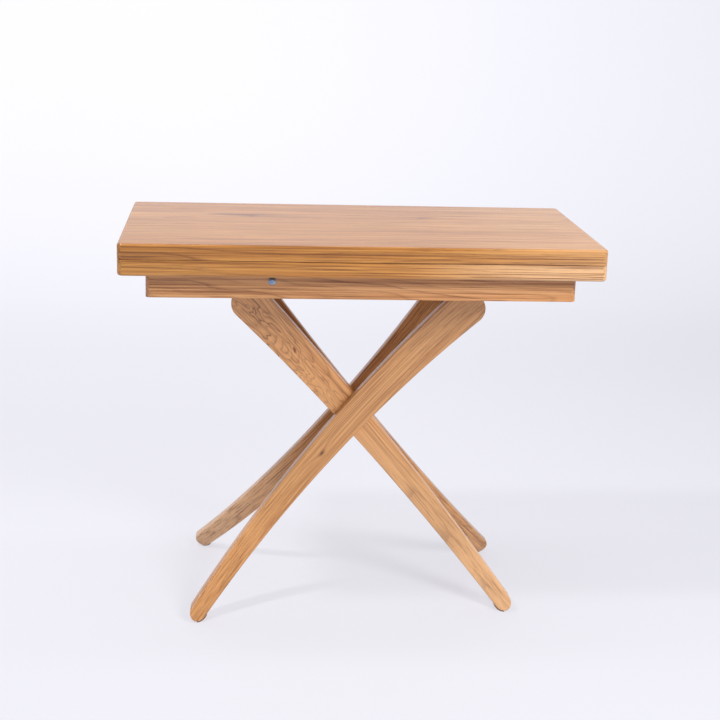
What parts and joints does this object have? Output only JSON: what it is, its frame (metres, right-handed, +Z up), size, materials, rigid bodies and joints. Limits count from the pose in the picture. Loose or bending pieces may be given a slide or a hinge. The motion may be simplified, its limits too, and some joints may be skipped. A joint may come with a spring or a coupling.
{
  "type": "table",
  "caption": "Fold-over oak table: two leaves stacked face to face that swivel and open, on a shallow frame and a bowed, crossed scissor base.",
  "frame": {"origin": "on the floor, under the middle of the closed top", "axes": "+X to the right along the table's length, +Y to the back where the leaf hinges are, +Z up"},
  "size_m": [0.896, 0.4835, 0.75],
  "materials": {
    "oak_top": "satin lacquer",
    "oak_frame": "satin lacquer",
    "oak_legs": "satin lacquer",
    "inner_wood": "planed, unlacquered",
    "zinc": "bright zinc plated",
    "dark_steel": "black powder coat",
    "brass": "satin",
    "felt": "pressed felt",
    "brown_felt": "pressed felt",
    "nylon": "natural",
    "black_plastic": "fine textured"
  },
  "bodies": {
    "frame": {"front_rail": "oak_frame", "rear_rail": "oak_frame", "left_end_rail": "oak_frame", "right_end_rail": "oak_frame", "corner_blocks": "inner_wood", "swivel_rail": "inner_wood", "swivel_bush": "nylon", "glide_strips": "felt", "connector_bolts": "zinc", "barrel_nuts": "zinc", "frame_dowels": "inner_wood", "bearer_rail": "inner_wood", "right_hangers": "dark_steel", "right_hanger_screws": "zinc", "guide_strap": "zinc", "guide_strap_screws": "zinc"},
    "lower_leaf": {"lower_leaf": "oak_top", "lower_hinge_plates": "brass", "lower_hinge_screws": "brass", "leaf_hinge_pins": "zinc", "leaf_pads": "felt", "swivel_plate": "zinc", "swivel_plate_screws": "zinc", "swivel_bolt": "zinc", "swivel_washer": "zinc", "swivel_nut": "zinc", "swivel_stop": "inner_wood"},
    "upper_leaf": {"upper_leaf": "oak_top", "upper_hinge_plates": "brass", "upper_hinge_screws": "brass"},
    "hinged_legs": {"front_outer_leg": "oak_legs", "rear_outer_leg": "oak_legs", "right_crossbar": "dark_steel", "centre_shaft": "dark_steel", "centre_spacer": "nylon", "centre_washers": "nylon", "outer_foot_pads": "brown_felt"},
    "sliding_legs": {"front_inner_leg": "oak_legs", "rear_inner_leg": "oak_legs", "left_crossbar": "dark_steel", "inner_foot_pads": "brown_felt"},
    "slide_carriage": {"slide_board": "inner_wood", "slide_runners": "nylon", "left_hangers": "dark_steel", "left_hanger_screws": "zinc", "clamp_nut_plate": "zinc"},
    "clamp": {"clamp_knob": "black_plastic", "clamp_stud": "zinc"}
  },
  "joints": [
    {"name": "top_swivel", "type": "hinge", "parent": "frame", "child": "lower_leaf", "pos_m": [-0.12, 0.12, 0.6904], "axis": [0, 0, -1], "range_deg": [0, 90]},
    {"name": "leaf_hinge", "type": "hinge", "parent": "lower_leaf", "child": "upper_leaf", "pos_m": [0, 0.24, 0.7202], "axis": [-1, 0, 0], "range_deg": [0, 180]},
    {"name": "leg_fold", "type": "hinge", "parent": "frame", "child": "hinged_legs", "pos_m": [0.2075, 0, 0.6084], "axis": [0, 1, 0], "range_deg": [0, 18]},
    {"name": "leg_cross", "type": "hinge", "parent": "hinged_legs", "child": "sliding_legs", "pos_m": [0, 0, 0.36816], "axis": [0, 1, 0], "range_deg": [-36, 0]},
    {"name": "carriage_pivot", "type": "hinge", "parent": "sliding_legs", "child": "slide_carriage", "pos_m": [-0.2075, 0, 0.6084], "axis": [0, 1, 0], "range_deg": [0, 18]},
    {"name": "clamp_turn", "type": "hinge", "parent": "slide_carriage", "child": "clamp", "pos_m": [-0.2155, 0, 0.64], "axis": [0, 0, -1], "range_deg": [0, 180]}
  ],
  "couplings": [
    {"joint": "leg_cross", "follows": "leg_fold", "ratio": -2},
    {"joint": "carriage_pivot", "follows": "leg_fold", "ratio": 1}
  ]
}
